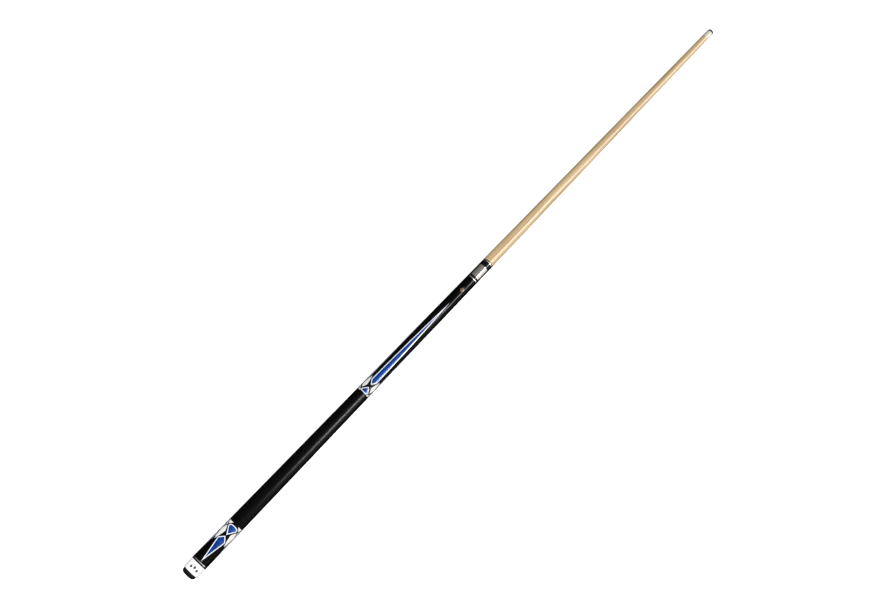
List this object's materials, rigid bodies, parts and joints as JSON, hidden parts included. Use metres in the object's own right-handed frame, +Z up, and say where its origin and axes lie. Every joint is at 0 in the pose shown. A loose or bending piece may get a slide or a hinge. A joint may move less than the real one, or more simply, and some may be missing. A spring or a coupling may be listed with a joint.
{
  "type": "pool cue",
  "caption": "Two-piece pool cue with a wrapped handle, inlaid black butt, steel screw joint, maple shaft, ferrule and leather tip.",
  "frame": {"origin": "centre of the rubber bumper's end face, on the cue's axis", "axes": "+X along the cue from the bumper to the tip; +Z is up, through the middle of one of the four spear inlays, on the side with the cap ornament"},
  "size_m": [1.4732, 0.0302, 0.0302],
  "materials": {
    "bumper_rubber": "matte moulded rubber",
    "cap_plastic": "polished, slightly warm white",
    "ornament_grey": "polished inlay",
    "plain_steel": "zinc plated",
    "ring_black": "polished",
    "ring_silver": "polished",
    "black_lacquered_wood": "black stain under high-gloss lacquer",
    "inlay_blue": "pearl blue under gloss lacquer",
    "inlay_border_white": "white veneer under gloss lacquer",
    "inlay_cream": "white veneer under gloss lacquer",
    "inlay_bronze": "bronze-brown under gloss lacquer",
    "core_wood": "raw maple",
    "wrap_linen": "pressed black linen thread, satin",
    "stainless_steel": "polished stainless steel",
    "brass": "machined",
    "shaft_collar_black": "polished",
    "maple": "hard maple, smooth satin finish",
    "ferrule_ivory": "polished off-white",
    "pad_fibre": "vulcanised fibre",
    "tip_leather": "pressed leather, burnished side"
  },
  "bodies": {
    "butt": {"butt_cap": "cap_plastic", "butt_sleeve": "black_lacquered_wood", "cap_black_ring": "ring_black", "cap_ornament": "ornament_grey", "cap_silver_ring": "ring_silver", "forearm": "black_lacquered_wood", "forearm_corners": "inlay_cream", "forearm_diamond": "inlay_bronze", "forearm_drops": "inlay_cream", "forearm_fan_borders": "inlay_border_white", "forearm_fans": "inlay_blue", "forearm_spear_1": "inlay_blue", "forearm_spear_2": "inlay_blue", "forearm_spear_3": "inlay_blue", "forearm_spear_4": "inlay_blue", "forearm_spear_border_1": "inlay_border_white", "forearm_spear_border_2": "inlay_border_white", "forearm_spear_border_3": "inlay_border_white", "forearm_spear_border_4": "inlay_border_white", "handle_core": "core_wood", "handle_stud": "plain_steel", "handle_wrap": "wrap_linen", "joint_black_ring": "ring_black", "joint_collar": "stainless_steel", "joint_pin": "stainless_steel", "joint_silver_ring": "ring_silver", "sleeve_corners": "inlay_cream", "sleeve_drops": "inlay_cream", "sleeve_fan_1": "inlay_blue", "sleeve_fan_2": "inlay_blue", "sleeve_fan_3": "inlay_blue", "sleeve_fan_4": "inlay_blue", "sleeve_fan_border_1": "inlay_border_white", "sleeve_fan_border_2": "inlay_border_white", "sleeve_fan_border_3": "inlay_border_white", "sleeve_fan_border_4": "inlay_border_white", "sleeve_spear_1": "inlay_blue", "sleeve_spear_2": "inlay_blue", "sleeve_spear_3": "inlay_blue", "sleeve_spear_4": "inlay_blue", "sleeve_spear_border_1": "inlay_border_white", "sleeve_spear_border_2": "inlay_border_white", "sleeve_spear_border_3": "inlay_border_white", "sleeve_spear_border_4": "inlay_border_white", "weight_bolt": "plain_steel"},
    "bumper": {"bumper": "bumper_rubber"},
    "trim_ring": {"shaft_trim_ring": "ring_silver"},
    "shaft": {"shaft_insert": "brass", "shaft_collar": "shaft_collar_black", "shaft_black_ring": "ring_black", "shaft": "maple", "ferrule": "ferrule_ivory", "tip_pad": "pad_fibre", "tip": "tip_leather"}
  },
  "joints": [
    {"name": "shaft_advance", "type": "slide", "parent": "butt", "child": "trim_ring", "axis": [1, 0, 0], "range_m": [0, 0.02177]},
    {"name": "shaft_turn", "type": "hinge", "parent": "trim_ring", "child": "shaft", "pos_m": [0.7366, 0, 0], "axis": [1, 0, 0], "range_deg": [0, 4320]},
    {"name": "bumper_pull", "type": "slide", "parent": "butt", "child": "bumper", "axis": [-1, 0, 0], "range_m": [0, 0.0125]}
  ],
  "couplings": [
    {"joint": "shaft_turn", "follows": "shaft_advance", "rad_per_m": 3463.2}
  ]
}
